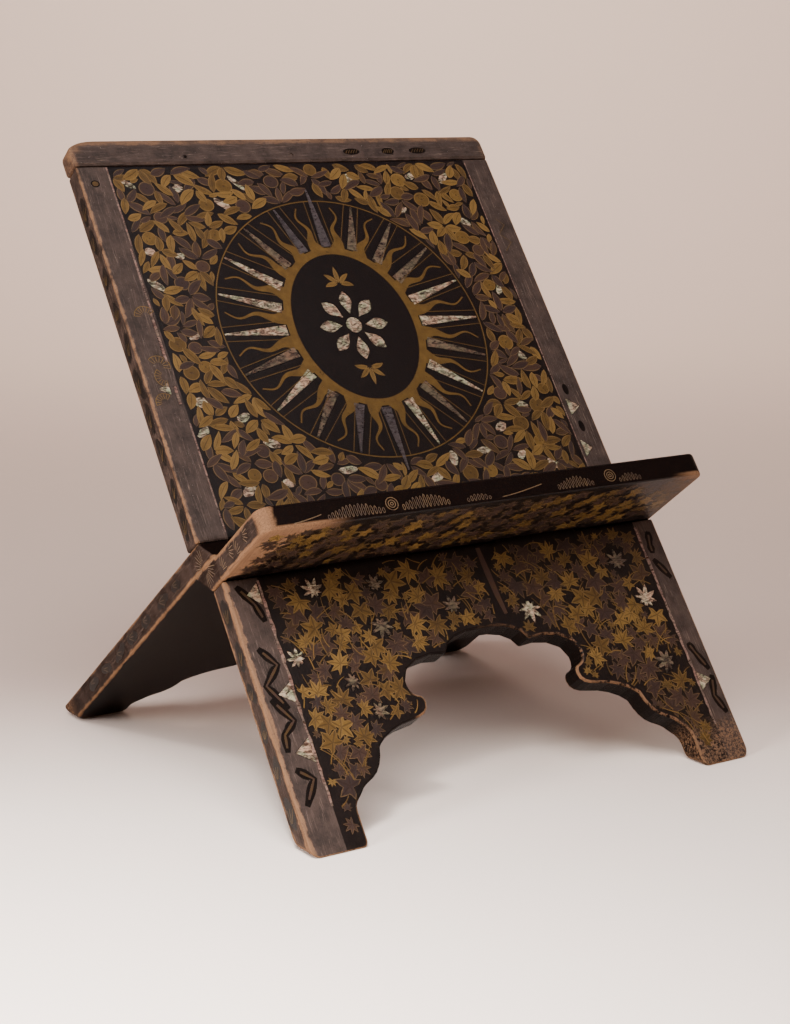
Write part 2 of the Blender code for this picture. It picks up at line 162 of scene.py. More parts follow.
class Shader:
    """One material.  Each method adds a node and returns its output."""

    def __init__(self, name):
        self.material = bpy.data.materials.new(name)
        self.material.use_nodes = True
        self.tree = self.material.node_tree
        self.tree.nodes.clear()

    def add(self, kind, inputs, **settings):
        node = self.tree.nodes.new(kind)
        for key, value in settings.items():
            setattr(node, key, value)
        for key, value in inputs.items():
            if isinstance(value, bpy.types.NodeSocket):
                self.tree.links.new(value, node.inputs[key])
            else:
                node.inputs[key].default_value = value
        return node

    def math(self, operation, *values):
        node = self.add("ShaderNodeMath", dict(enumerate(values)), operation=operation)
        return node.outputs[0]

    def chain(self, operation, first, *others):
        for other in others:
            first = self.math(operation, first, other)
        return first

    def most(self, *values):
        return self.chain("MAXIMUM", *values)

    def times(self, *values):
        return self.chain("MULTIPLY", *values)

    def minus(self, first, second):
        return self.math("SUBTRACT", first, second)

    def absolute(self, value):
        return self.math("ABSOLUTE", value)

    def scaled(self, value, factor, plus):
        return self.math("MULTIPLY_ADD", value, factor, plus)

    def between(self, value, low, high):
        """0 at low and 1 at high, smooth in between, where low may be the larger."""
        inputs = {"Value": value, "From Min": low, "From Max": high}
        node = self.add("ShaderNodeMapRange", inputs, interpolation_type="SMOOTHSTEP")
        return node.outputs[0]

    def mix(self, share, first, second, blend="MIX"):
        inputs = {0: share, 6: first, 7: second}
        node = self.add("ShaderNodeMix", inputs, data_type="RGBA", blend_type=blend)
        return node.outputs[2]

    def ramp(self, value, *stops):
        """A colour ramp of (place, colour) stops."""
        node = self.add("ShaderNodeValToRGB", {"Fac": value})
        marks = node.color_ramp.elements
        marks[0].position, marks[0].color = stops[0]
        marks[1].position, marks[1].color = stops[-1]
        for place, colour in stops[1:-1]:
            marks.new(place).color = colour
        return node.outputs[0]

    def object_place(self):
        return self.add("ShaderNodeTexCoord", {}).outputs["Object"]

    def millimetres(self):
        return self.stretched(self.object_place(), (1 / MM, 1 / MM, 1 / MM))

    def tone(self):
        """Each plate's own tone, from its mesh."""
        return self.add("ShaderNodeAttribute", {}, attribute_name="tone").outputs["Fac"]

    def leaf_place(self, turn):
        """Millimetres in the frame of the leaf that is turned so far about the hinge."""
        inputs = {
            "Vector": self.object_place(),
            "Location": tuple(HINGE),
            "Rotation": (turn, 0, 0),
            "Scale": (MM, MM, MM),
        }
        return self.add("ShaderNodeMapping", inputs, vector_type="TEXTURE").outputs[0]

    def leaf_normal(self, turn):
        """The facet's own normal in the leaf's frame."""
        normal = self.add("ShaderNodeNewGeometry", {}).outputs["True Normal"]
        inputs = {"Vector": normal, "Rotation": (turn, 0, 0)}
        return self.add("ShaderNodeMapping", inputs, vector_type="TEXTURE").outputs[0]

    def split(self, vector):
        return tuple(self.add("ShaderNodeSeparateXYZ", {0: vector}).outputs)

    def stretched(self, vector, scale):
        inputs = {"Vector": vector, "Scale": scale}
        return self.add("ShaderNodeMapping", inputs).outputs[0]

    def noise(self, where, scale, detail=3, roughness=0.55, distortion=0.0):
        names = ("Vector", "Scale", "Detail", "Roughness", "Distortion")
        inputs = dict(zip(names, (where, scale, detail, roughness, distortion)))
        return self.add("ShaderNodeTexNoise", inputs).outputs["Fac"]

    def finish(self, colour, roughness, height=None, relief=0.1, **extra):
        """The surface.  height is in millimetres and relief is how strongly it shows."""
        inputs = {"Base Color": colour, "Roughness": roughness}
        inputs.update({key.replace("_", " "): value for key, value in extra.items()})
        if height is not None:
            bump = {"Height": height, "Distance": MM, "Strength": relief}
            inputs["Normal"] = self.add("ShaderNodeBump", bump).outputs[0]
        surface = self.add("ShaderNodeBsdfPrincipled", inputs).outputs[0]
        self.add("ShaderNodeOutputMaterial", {"Surface": surface})
        return self.material


BLACK = paint(12, 7, 6)
BLACK_BROWN = paint(28, 17, 11)
BORDER_DARK = paint(30, 23, 20)
BORDER_LIGHT = paint(62, 50, 45)
SCUFF = paint(118, 100, 90)
DUST = paint(150, 138, 126)
WOOD_DARK = paint(60, 41, 31)
WOOD_LIGHT = paint(148, 112, 82)
WOOD_PORE = paint(40, 25, 17)


def lacquer(name, leaf, borders, wear, gloss, dull_below=None, grain_axis=2):
    """Black lacquer over wood in one leaf's frame, with the grain along one of its axes.

    borders(shader, x, up) gives the share of worn grey border, and wear(shader, x, y,
    up, edge, blotch, rounding) the share of bare wood, where edge is the distance in
    millimetres to the nearest long edge and rounding is 1 on the rounded edges.  Round
    the hinge, and below dull_below where there is one, the lacquer has lost its gloss.
    """
    s = Shader(name)
    place = s.leaf_place(leaf.turn)
    x, y, up = s.split(place)
    normal_y = s.absolute(s.split(s.leaf_normal(leaf.turn))[1])

    blotch = s.noise(place, 0.09, 6, 0.68)
    speck = s.noise(place, 0.9, 4, 0.7)
    grain_stretch, scratch_stretch = 0.06, 0.7
    along = [grain_stretch if axis == grain_axis else 1 for axis in range(3)]
    grain = s.noise(s.stretched(place, along), 1.1, 4, 0.65, 0.3)
    scratch = s.noise(s.stretched(place, [share * scratch_stretch for share in along]), 1.6, 6, 0.75, 0.6)
    dust = s.noise(place, 0.8, 2, 0.9)

    black = s.mix(s.between(speck, 0.5, 0.8), BLACK, BLACK_BROWN)
    grey = s.mix(s.between(blotch, 0.25, 0.75), BORDER_DARK, BORDER_LIGHT)
    grey = s.mix(s.between(scratch, 0.52, 0.80), grey, SCUFF)
    grey = s.mix(s.between(speck, 0.42, 0.24), grey, BLACK_BROWN)
    grey = s.mix(s.between(dust, 0.71, 0.77), grey, DUST)
    border = borders(s, x, up)
    colour = s.mix(border, black, grey)

    across = s.minus(HALF_WIDTH, s.absolute(x))
    depth = s.absolute(y)
    through = s.math("MINIMUM", s.minus(THICKNESS, depth), s.minus(depth, FOLD_GAP))
    edge = s.most(across, through)
    rounding = s.times(s.between(normal_y, 0.04, 0.3), s.between(normal_y, 0.995, 0.93))
    bare = wear(s, x, y, up, edge, blotch, rounding)
    wood = s.mix(grain, WOOD_DARK, WOOD_LIGHT)
    wood = s.mix(s.between(speck, 0.45, 0.25), wood, WOOD_PORE)
    colour = s.mix(bare, colour, wood)

    roughness = s.scaled(speck, 0.25, gloss)
    roughness = s.scaled(s.most(border, bare), 0.25, roughness)
    worn_depth, grit_height = 0.25, 0.22
    height = s.scaled(bare, -worn_depth, s.times(s.math("ADD", speck, scratch), grit_height))
    edge_shine, flat_shine = 0.04, 0.22
    shine = s.scaled(s.between(normal_y, 0.85, 1.0), flat_shine - edge_shine, edge_shine)
    shine = s.times(shine, s.between(s.absolute(up), *HINGE_DULL))
    if dull_below is not None:
        shine = s.times(shine, s.scaled(s.between(up, dull_below - 3, dull_below), 0.8, 0.2))
    return s.finish(colour, roughness, height, 0.6, Specular_IOR_Level=shine)


def rest_borders(s, x, up):
    """Beyond the fields of the panel and the legs, and above the panel."""
    def beyond(value, line, side=1):
        return s.between(value, line - side * BORDER_FADE, line + side * BORDER_FADE)

    panel = beyond(s.absolute(x), FIELD_HALF)
    legs = s.most(beyond(x, LEG_FIELD[0], -1), beyond(x, LEG_FIELD[1]))
    above = s.math("GREATER_THAN", up, 0)
    chosen = s.math("ADD", s.times(panel, above), s.times(legs, s.minus(1, above)))
    return s.most(chosen, beyond(up, PANEL_TOP))


def worn_strip(s, edge, blotch, raggedness, width):
    """Bare wood along the long edges, as wide as the blotches let it be."""
    fade = 0.7
    return s.between(s.minus(edge, s.scaled(blotch, raggedness, width)), fade, -fade)


def foot_grit(s):
    return s.noise(s.object_place(), 620, 4, 0.9)


def rest_wear(s, x, y, up, edge, blotch, rounding):
    """Rubbed bare down the left edge, on the outer corners and, on the legs, near the floor."""
    legs = s.math("LESS_THAN", up, 0)
    strip = worn_strip(s, edge, blotch, 8, s.scaled(legs, 1.4, -3.0))
    left_only = s.between(x, -100, -140)
    below_rail = s.between(up, PANEL_TOP, PANEL_TOP - 13)
    strip = s.times(strip, left_only, below_rail)
    outer = s.times(s.between(s.absolute(x), 153, 154.5), s.between(blotch, 0.3, 0.6))
    outer = s.times(outer, rounding)
    grit = foot_grit(s)
    near_floor = s.between(s.scaled(blotch, 24, up), -134, -150)
    feet = s.times(near_floor, s.between(x, -100, 100), s.between(grit, 0.47, 0.57))
    toes = s.times(rounding, s.between(up, -150, -160), s.between(grit, 0.38, 0.5))
    return s.times(s.most(strip, outer, feet, toes, cusp_wear(s, x, up, rounding, 0)), 0.85)


def cusp_wear(s, x, up, rounding, drop):
    """The worn points and rim of the arch, which lies that much lower on the rear legs."""
    def height(low, high):
        return s.between(up, low - drop, high - drop)

    width = s.absolute(x)
    points = s.times(s.between(width, 66, 60), s.between(width, 49, 53))
    points = s.times(points, height(-119, -113), height(-97, -101))
    rim = s.times(height(-60, -66), s.between(x, -20, 80), 0.8)
    patchy = s.between(s.noise(s.object_place(), 240, 5, 0.8), 0.44, 0.54)
    return s.times(s.most(points, s.times(rim, patchy)), rounding)


def lip_borders(s, x, up):
    side = s.between(s.absolute(x), 154.2, 154.8)
    return s.times(side, 0.75)


def lip_wear(s, x, y, up, edge, blotch, rounding):
    """The lip is rubbed bare in tongues at its ends, at its upper left corner and at its feet."""
    above = s.math("GREATER_THAN", up, 14)
    strip = worn_strip(s, edge, blotch, 6, s.scaled(above, 1.0, -1.8))
    outside = s.between(y, -14.2, -14.8)
    tongues = s.noise(s.stretched(s.object_place(), (32, 170, 170)), 1, 4, 0.6)
    left_reach = s.scaled(up, -0.5, s.scaled(tongues, 52, x))
    left_end = s.times(s.between(left_reach, -131, -134), outside, above)
    right_reach = s.scaled(up, 0.35, s.scaled(tongues, 60, x))
    right_end = s.times(s.between(right_reach, 182, 200), outside, above, 0.45)
    corner = s.between(s.scaled(blotch, 14, s.minus(up, x)), 229, 234)
    crest = s.between(s.scaled(blotch, 12, up), 75.5, 77.5)
    crest = s.times(crest, s.between(y, -12, -13.5), s.most(s.between(x, -96, -125), s.between(x, 128, 150)))
    near_floor = s.between(s.scaled(blotch, 24, up), -216, -230)
    feet = s.times(near_floor, s.between(foot_grit(s), 0.44, 0.56))
    cusps = cusp_wear(s, x, up, rounding, REAR_ARCH_DROP)
    return s.times(s.most(strip, left_end, right_end, corner, crest, feet, cusps), 0.9)


def rail_borders(s, x, up):
    """The whole rail is worn grey."""
    return 1.0


def rail_wear(s, x, y, up, edge, blotch, rounding):
    crest = s.between(s.scaled(blotch, -7, up), 286.0, 288.5)
    left_corner = s.times(s.between(s.scaled(blotch, 16, x), -138, -146), s.between(up, 283, 289))
    ends = s.times(s.between(s.absolute(x), 150, 155), s.between(blotch, 0.35, 0.6))
    rim = s.times(rounding, s.between(up, 286, 290), s.between(blotch, 0.3, 0.5))
    patchy = s.scaled(s.between(s.noise(s.object_place(), 60, 5, 0.7), 0.40, 0.56), 0.45, 0.22)
    return s.times(s.most(crest, left_corner, ends, rim), patchy)


def gold_colour(s, tone, place):
    """The colour of a plate by its tone: 0 purple brown, 0.5 dull gold, 1 bright gold."""
    tone = s.math("ADD", tone, s.scaled(s.noise(place, 0.22, 3), 0.5, -0.25))
    colour = s.ramp(
        tone,
        (0.0, paint(38, 28, 26)),
        (0.3, paint(52, 37, 30)),
        (0.45, paint(58, 42, 20)),
        (0.75, paint(80, 60, 26)),
        (1.0, paint(101, 78, 38)),
    )
    rubbed = s.noise(place, 0.35, 4, 0.65)
    return s.mix(s.between(rubbed, 0.40, 0.20), colour, BLACK_BROWN)


def gold_material(name, lines):
    """Gold and brown plates.  lines(shader, place, along, across) gives the dark and the light
    lines on them, where along and across are a place's share of the plate's length and width.
    """
    s = Shader(name)
    place = s.millimetres()
    along, across, _ = s.split(s.add("ShaderNodeUVMap", {}, uv_map="motif").outputs[0])
    dark, light = lines(s, place, along, across)
    colour = s.mix(s.times(dark, 0.55), gold_colour(s, s.tone(), place), BLACK_BROWN)
    colour = s.mix(s.times(light, 0.4), colour, paint(112, 88, 50))
    grit = s.noise(place, 2.2, 3, 0.7)
    height = s.scaled(dark, -0.12, s.times(grit, 0.15))
    return s.finish(colour, s.scaled(grit, 0.25, 0.26), height, 0.5, Specular_IOR_Level=0.25)


def leaf_lines(s, place, along, across):
    rib = s.between(across, 0.14, 0.06)
    wave = s.scaled(along, 9, s.times(across, -2.2))
    vein = s.between(s.absolute(s.minus(s.math("FRACT", wave), 0.5)), 0.14, 0.06)
    vein = s.times(vein, s.between(across, 0.85, 0.7), 0.5)
    return s.most(rib, vein), s.between(across, 0.72, 0.85)


def maple_lines(s, place, along, across):
    vein = s.times(s.between(across, 0.22, 0.10), s.between(along, 0.95, 0.85))
    return s.times(vein, 0.9), s.between(along, 0.86, 0.95)


def fruit_lines(s, place, along, across):
    dots = s.between(s.noise(place, 0.9, 1, 0.3), 0.36, 0.30)
    calyx = s.between(along, 0.16, 0.10)
    return s.most(s.times(dots, s.between(along, 0.8, 0.7)), calyx), s.between(along, 0.84, 0.93)


def no_lines(s, place, along, across):
    return 0.0, 0.0


def gilt_material():
    """Pale raised gold on dark lacquer."""
    s = Shader("pale_gilt")
    rubbed = s.noise(s.millimetres(), 0.5, 3, 0.7)
    kept = s.times(s.tone(), s.between(rubbed, 0.3, 0.5))
    colour = s.mix(kept, paint(40, 27, 24), paint(106, 84, 54))
    return s.finish(colour, s.scaled(rubbed, 0.25, 0.3), rubbed, 0.3)


def chipped_material():
    """Places where the border's lacquer is cut or chipped down to glossy black."""
    s = Shader("cut_black")
    place = s.millimetres()
    grit = s.noise(place, 1.4, 4, 0.7)
    colour = s.mix(s.between(grit, 0.5, 0.75), paint(8, 5, 4), BLACK_BROWN)
    return s.finish(colour, 0.4, s.times(grit, 0.2), 0.5, Specular_IOR_Level=0.12)


def pearl_material(name, bright, dull, tint):
    """Mother-of-pearl with bands of green and pink, crazed and dirty at the cracks."""
    s = Shader(name)
    place = s.millimetres()
    bands = s.noise(s.stretched(place, (0.5, 0.5, 1.2)), 0.45, 3, 0.6, 1.2)
    hue = s.noise(place, 0.16, 2, 0.5, 0.8)
    crack = s.noise(s.stretched(place, (1.6, 0.4, 0.4)), 0.9, 5, 0.7, 0.4)
    colour = s.mix(s.between(bands, 0.38, 0.66), dull, bright)
    green = s.mix(s.times(s.between(hue, 0.52, 0.62), tint), colour, paint(140, 190, 160), "MULTIPLY")
    colour = s.mix(s.times(s.between(hue, 0.50, 0.40), tint), green, paint(240, 178, 170), "MULTIPLY")
    colour = s.mix(s.times(s.between(crack, 0.62, 0.72), 0.8), colour, paint(38, 28, 20))
    roughness = s.scaled(bands, 0.25, 0.18)
    height = s.scaled(crack, -0.1, s.times(bands, 0.3))
    return s.finish(colour, roughness, height, 0.5, Coat_Weight=0.4, Coat_Roughness=0.2)


def peg_material():
    s = Shader("peg_end_grain")
    place = s.millimetres()
    rings = s.noise(place, 1.8, 4, 0.7)
    colour = s.mix(rings, paint(28, 19, 14), paint(60, 42, 29))
    return s.finish(colour, 0.7, s.times(rings, 0.3), 0.6)


REST_LACQUER = lacquer("rest_lacquer_worn", REST, rest_borders, rest_wear, 0.22)
LIP_LACQUER = lacquer("lip_lacquer_worn", LIP, lip_borders, lip_wear, 0.22, dull_below=-17)
RAIL_LACQUER = lacquer("rail_lacquer_worn", REST, rail_borders, rail_wear, 0.30, grain_axis=0)
LEAF = gold_material("gold_leaf", leaf_lines)
MAPLE = gold_material("gold_maple", maple_lines)
FRUIT = gold_material("gold_fruit", fruit_lines)
LINE = gold_material("gold_line", no_lines)
GILT = gilt_material()
CUT_BLACK = chipped_material()
PEARL_BRIGHT = pearl_material("pearl_bright", paint(166, 156, 132), paint(62, 51, 40), 0.5)
PEARL_DULL = pearl_material("pearl_dull", paint(98, 84, 66), paint(42, 33, 26), 0.35)
PEARL_GREY = pearl_material("pearl_grey", paint(66, 60, 60), paint(38, 32, 32), 0.15)
# Pale raised lines along the borders: worn ridges, with a pale colour that is partly a painted highlight along
# each ridge
PALE_LINE = pearl_material("pale_line", paint(122, 98, 88), paint(62, 47, 40), 0.3)
PEG_WOOD = peg_material()

# The sun's rays that are bright and grey, by the way they point in degrees
BRIGHT_RAYS = (0, 18, 144, 162, 180, 216, 288, 324)
GREY_RAYS = (90, 108, 252, 270)
DULL_MAPLES = (2, 3, 5, 6, 7, 9, 11)


def ray_material(name):
    """The pearl of a ray, chosen by the way from the sun's centre to the ray's middle."""
    low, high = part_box(name)
    middle = REST.matrix.inverted() @ ((low + high) / 2) / MM
    turn = math.degrees(math.atan2(middle.z - SUN_CENTRE[1], middle.x - SUN_CENTRE[0])) % 360
    between_rays = 360 / SUN_RAYS
    nearest = round(turn / between_rays) * between_rays % 360
    if nearest in BRIGHT_RAYS:
        return PEARL_BRIGHT
    return PEARL_GREY if nearest in GREY_RAYS else PEARL_DULL


def smooth_by_angle():
    """A modifier's nodes that shade smooth all but the edges sharper than 30 degrees."""
    group = bpy.data.node_groups.new("smooth_by_angle", "GeometryNodeTree")
    group.interface.new_socket("Geometry", in_out="INPUT", socket_type="NodeSocketGeometry")
    group.interface.new_socket("Geometry", in_out="OUTPUT", socket_type="NodeSocketGeometry")
    source, result = group.nodes.new("NodeGroupInput"), group.nodes.new("NodeGroupOutput")
    faces, edges = (group.nodes.new("GeometryNodeSetShadeSmooth") for _ in range(2))
    angle = group.nodes.new("GeometryNodeInputMeshEdgeAngle")
    sharp = group.nodes.new("FunctionNodeCompare")
    edges.domain = "EDGE"
    edges.inputs["Shade Smooth"].default_value = False
    sharp.inputs[1].default_value = math.radians(30)
    for output, place in (
        (source.outputs[0], faces.inputs["Geometry"]),
        (faces.outputs[0], edges.inputs["Geometry"]),
        (angle.outputs["Unsigned Angle"], sharp.inputs[0]),
        (sharp.outputs[0], edges.inputs["Selection"]),
        (edges.outputs[0], result.inputs[0]),
    ):
        group.links.new(output, place)
    return group


SMOOTH_BY_ANGLE = smooth_by_angle()


def dress_nodes():
    """Gives every CAD node its worn material, mostly bright pearl, and smooth shading."""
    chosen_by_name = {
        "rest_board": REST_LACQUER,
        "lip_board": LIP_LACQUER,
        "top_rail": RAIL_LACQUER,
        "rail_peg": PEG_WOOD,
        "rest_strip": PALE_LINE,
    }
    for name, node in frame["nodes"].items():
        kind = name.rstrip("0123456789").rstrip("_")
        if kind == "sun_ray":
            chosen = ray_material(name)
        elif kind == "leg_maple" and int(name[-2:]) in DULL_MAPLES:
            chosen = PEARL_DULL
        else:
            chosen = chosen_by_name.get(kind, PEARL_BRIGHT)
        for slot in node.material_slots:
            slot.material = chosen
        smoothing = node.modifiers.new("Smooth shading", "NODES")
        smoothing.node_group = SMOOTH_BY_ANGLE


# ---------------------------------------------------------------- plates

def halves(path, widths, closed=False):
    """From each point of a path, the step across it to its edge.  widths are half widths, or one."""
    if isinstance(widths, float):
        widths = [widths] * len(path)
    last = len(path) - 1
    for i, width in enumerate(widths):
        before = path[i - 1] if i or closed else path[0]
        after = path[(i + 1) % len(path)] if i < last or closed else path[last]
        run, rise = after[0] - before[0], after[1] - before[1]
        length = math.hypot(run, rise) or 1
        yield -rise / length * width, run / length * width


ALL_PLATES = []


class Plates:
    """One object of thin closed plates on one face, all of one material."""

    def __init__(self, name, face, material, slot=None):
        self.name, self.face, self.material, self.slot = name, face, material, slot or face.slot
        self.points, self.faces, self.layout, self.tones = [], [], [], []
        ALL_PLATES.append(self)

    def point(self, u, v, w, along, across, tone):
        self.points.append(self.face.matrix @ Vector((u, v, w)))
        self.layout.append((along, across))
        self.tones.append(tone)

    def ribbon(self, path, widths, tone, level=0, closed=False):
        """A plate along path with a raised rib.  widths are its half widths, or one for all."""
        start, count = len(self.points), len(path)
        top = BASE + level * STEP
        for i, ((u, v), (du, dv)) in enumerate(zip(path, halves(path, widths, closed))):
            along = i / (count - 1)
            self.point(u + du, v + dv, top, along, 1, tone)
            self.point(u, v, top + CROWN, along, 0, tone)
            self.point(u - du, v - dv, top, along, 1, tone)
            self.point(u + du, v + dv, SINK, along, 1, tone)
            self.point(u - du, v - dv, SINK, along, 1, tone)
        for i in range(count if closed else count - 1):
            a = start + 5 * i
            b = start + 5 * ((i + 1) % count)
            self.faces += [
                (a + 1, b + 1, b, a),
                (a + 2, b + 2, b + 1, a + 1),
                (a + 3, a, b, b + 3),
                (a + 4, b + 4, b + 2, a + 2),
                (a + 3, b + 3, b + 4, a + 4),
            ]
        if not closed:
            a, b = start, start + 5 * (count - 1)
            self.faces.append((a + 3, a + 4, a + 2, a + 1, a))
            self.faces.append((b, b + 1, b + 2, b + 4, b + 3))

    def fan(self, centre, rim, tone, level=0, across=None):
        """A plate round its centre.  across marks each rim point, 0 where a vein ends."""
        start, count = len(self.points), len(rim)
        top = BASE + level * STEP
        self.point(*centre, top + CROWN, 0, 0, tone)
        self.point(*centre, SINK, 0, 0, tone)
        for i, (u, v) in enumerate(rim):
            share = across[i] if across else 1
            self.point(u, v, top, 1, share, tone)
            self.point(u, v, SINK, 1, share, tone)
        for i in range(count):
            a = start + 2 + 2 * i
            b = start + 2 + 2 * ((i + 1) % count)
            self.faces.append((start, a, b))
            self.faces.append((start + 1, b + 1, a + 1))
            self.faces.append((a, a + 1, b + 1, b))

    def build(self):
        if not self.points:
            return
        mesh = bpy.data.meshes.new(self.name)
        mesh.from_pydata(self.points, [], self.faces)
        mesh.materials.append(self.material)
        layer = mesh.uv_layers.new(name="motif")
        for loop in mesh.loops:
            layer.data[loop.index].uv = self.layout[loop.vertex_index]
        tones = mesh.attributes.new("tone", "FLOAT", "POINT")
        for item, tone in zip(tones.data, self.tones):
            item.value = tone
        thing = bpy.data.objects.new(self.name, mesh)
        bpy.context.scene.collection.objects.link(thing)
        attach(thing, self.face.body)


class Canvas:
    """Keeps count of what is already drawn on a face, in cells of one millimetre.

    keep(u, v) says where plates may lie.  drawn has one bit for each level that is taken.
    """

    def __init__(self, face, low, high, keep):
        self.face, self.keep = face, keep
        self.drawn = {}
        for i in range(low[0], high[0]):
            for j in range(low[1], high[1]):
                if keep(i + 0.5, j + 0.5) and face.flat(i + 0.5, j + 0.5):
                    self.drawn[i, j] = 0
        self.open = sorted(self.drawn)

    def cells(self, outline):
        """The cells that the outline covers or runs through."""
        us = [u for u, _ in outline]
        vs = [v for _, v in outline]
        found = {(math.floor(u), math.floor(v)) for u, v in outline}
        for i in range(math.floor(min(us)), math.ceil(max(us)) + 1):
            for j in range(math.floor(min(vs)), math.ceil(max(vs)) + 1):
                if inside(i + 0.5, j + 0.5, outline):
                    found.add((i, j))
        return found

    def level(self, outline, overlap):
        """The level for a plate of this outline, or None if it doesn't fit there."""
        for u, v in outline:
            if not (self.keep(u, v) and self.face.flat(u, v)):
                return None
        cells = self.cells(outline)
        marks = [self.drawn.get(cell, 0) for cell in cells]
        if sum(mark > 0 for mark in marks) > overlap * len(cells):
            return None
        free = [n for n in range(LEVELS) if not any(mark >> n & 1 for mark in marks)]
        if not free:
            return None
        for cell in cells:
            if cell in self.drawn:
                self.drawn[cell] |= 1 << free[0]
        return free[0]


def inside(u, v, outline):
    """Whether the point is inside the closed outline."""
    hit = False
    last = outline[-1]
    for now in outline:
        if (now[1] > v) != (last[1] > v):
            if u < (last[0] - now[0]) * (v - now[1]) / (last[1] - now[1]) + now[0]:
                hit = not hit
        last = now
    return hit


def polar(centre, radius, angle):
    return centre[0] + radius * math.cos(angle), centre[1] + radius * math.sin(angle)


def sides(path, widths):
    """The outline of a ribbon, for finding room for it."""
    left, right = [], []
    for (u, v), (du, dv) in zip(path, halves(path, widths)):
        left.append((u + du, v + dv))
        right.append((u - du, v - dv))
    return left + right[::-1]


def leaf_shape(start, angle, length, half_width, bend):
    """The rib and half widths of a pointed leaf that starts at a point and bends a little."""
    steps, thinnest, belly, fullness = 7, 0.12, 0.85, 0.8
    path, widths = [], []
    for i in range(steps + 1):
        t = i / steps
        path.append(polar(start, length * t, angle + bend * t))
        widths.append(max(thinnest, half_width * math.sin(math.pi * t ** belly) ** fullness))
    return path, widths


def maple_shape(centre, radius, turn, lobes=7):
    """The rim of a maple leaf and, for each point, whether a vein ends there."""
    spread = math.radians(255)
    half = spread / (lobes - 1) / 2
    shoulder_reach, shoulder_turn, notch, stalk = 0.66, 0.56, 0.47, 0.16
    marked = []
    for i in range(lobes):
        share = i / (lobes - 1) - 0.5
        angle = turn + share * spread
        reach = radius * (1 - 0.9 * share * share)
        marked.append((polar(centre, reach * shoulder_reach, angle - half * shoulder_turn), 0.6))
        marked.append((polar(centre, reach, angle), 0))
        marked.append((polar(centre, reach * shoulder_reach, angle + half * shoulder_turn), 0.6))
        if i < lobes - 1:
            marked.append((polar(centre, radius * notch, angle + half), 1))
    marked.append((polar(centre, radius * stalk, turn + math.pi), 1))
    rim, across = zip(*marked)
    return rim, across


def circle(centre, radii, steps):
    return [
        (centre[0] + radii[0] * math.cos(a), centre[1] + radii[1] * math.sin(a))
        for a in (FULL_TURN * i / steps for i in range(steps))
    ]


# ---------------------------------------------------------------- the panel

def panel_keep(u, v):
    """Inside the borders and outside the sun."""
    from_sun = math.hypot(u - SUN_CENTRE[0], v - SUN_CENTRE[1])
    return abs(u) < FIELD_HALF - 0.8 and 14 < v < PANEL_TOP - 1.2 and from_sun > SUN_RADIUS + 1.2


def random_place(rng, canvas):
    """A random point in an open cell of the canvas."""
    i, j = rng.choice(canvas.open)
    return i + rng.random(), j + rng.random()


def sprigs(rng, canvas, leaves, tries, lengths, widths, gold_share, overlap):
    """Groups of leaves round common points, with one tone for each group."""
    for _ in range(tries):
        centre = random_place(rng, canvas)
        gold = rng.random() < gold_share
        count = rng.randint(3, 7)
        turn = rng.uniform(0, FULL_TURN)
        for k in range(count):
            angle = turn + k * FULL_TURN / count * rng.uniform(0.8, 1.0)
            shape = leaf_shape(
                polar(centre, 1.2, angle),
                angle,
                rng.uniform(*lengths),
                rng.uniform(*widths),
                rng.uniform(-0.35, 0.35),
            )
            level = canvas.level(sides(*shape), overlap)
            if level is None:
                continue
            tone = rng.uniform(0.55, 1.0) if gold else rng.uniform(0.0, 0.38)
            leaves.ribbon(*shape, tone, level)


def fruits_on(rng, canvas, fruits, tries, radii, gold_share, overlap):
    """Round fruits, some of them gold."""
    for _ in range(tries):
        centre = random_place(rng, canvas)
        radius = rng.uniform(*radii)
        rim = circle(centre, (radius, radius * rng.uniform(0.88, 1.0)), 18)
        level = canvas.level(rim, overlap)
        if level is None:
            continue
        gold = rng.random() < gold_share
        fruits.fan(centre, rim, rng.uniform(0.5, 0.9) if gold else rng.uniform(0.05, 0.35), level)


def chip_rim(rng, centre, radius, stretch, turn):
    """A rounded irregular chip of pearl."""
    rim, corners = [], 11
    for i in range(corners):
        angle = FULL_TURN * i / corners
        reach = radius * rng.uniform(0.8, 1.05)
        u, v = reach * stretch * math.cos(angle), reach / stretch * math.sin(angle)
        rim.append((
            centre[0] + u * math.cos(turn) - v * math.sin(turn),
            centre[1] + u * math.sin(turn) + v * math.cos(turn),
        ))
    return rim


# Pearl chips among the panel's leaves: across, up, radius, how long, and turn in degrees
PANEL_CHIPS = (
    (-124, 261, 4.2, 1.7, -35), (-91, 257, 4.5, 1.2, 10), (-48, 260, 5.0, 2.0, -50),
    (37, 261, 5.2, 1.1, 0), (86, 262, 4.2, 1.3, 20), (112, 260, 5.0, 1.6, 40),
    (-63, 244, 5.5, 1.7, -40), (-124, 211, 4.2, 1.1, 0), (-105, 207, 3.8, 1.2, 0),
    (115, 224, 4.6, 1.5, -30), (70, 235, 3.6, 1.4, 30), (-127, 187, 5.4, 1.6, -40),
    (-99, 92, 4.8, 1.3, 20), (-123, 105, 5.2, 1.1, 0), (-128, 85, 4.4, 1.5, 30),
    (-86, 73, 5.0, 1.4, -20), (-84, 46, 4.6, 1.2, 0), (-111, 44, 5.2, 1.3, 30),
    (36, 50, 5.4, 1.3, 90), (103, 82, 4.6, 1.4, -30), (80, 68, 4.8, 1.2, 20),
    (61, 53, 4.8, 1.5, 0), (88, 47, 4.4, 1.2, 40), (110, 38, 5.0, 1.4, -40),
    (19, 38, 5.0, 1.3, 20), (-41, 50, 5.2, 1.6, 0), (122, 170, 4.4, 1.4, 60),
    (-112, 150, 4.0, 1.5, 20), (118, 118, 4.2, 1.3, -50), (-60, 24, 4.6, 1.4, 10),
)
CHIP_SCALE = 0.85


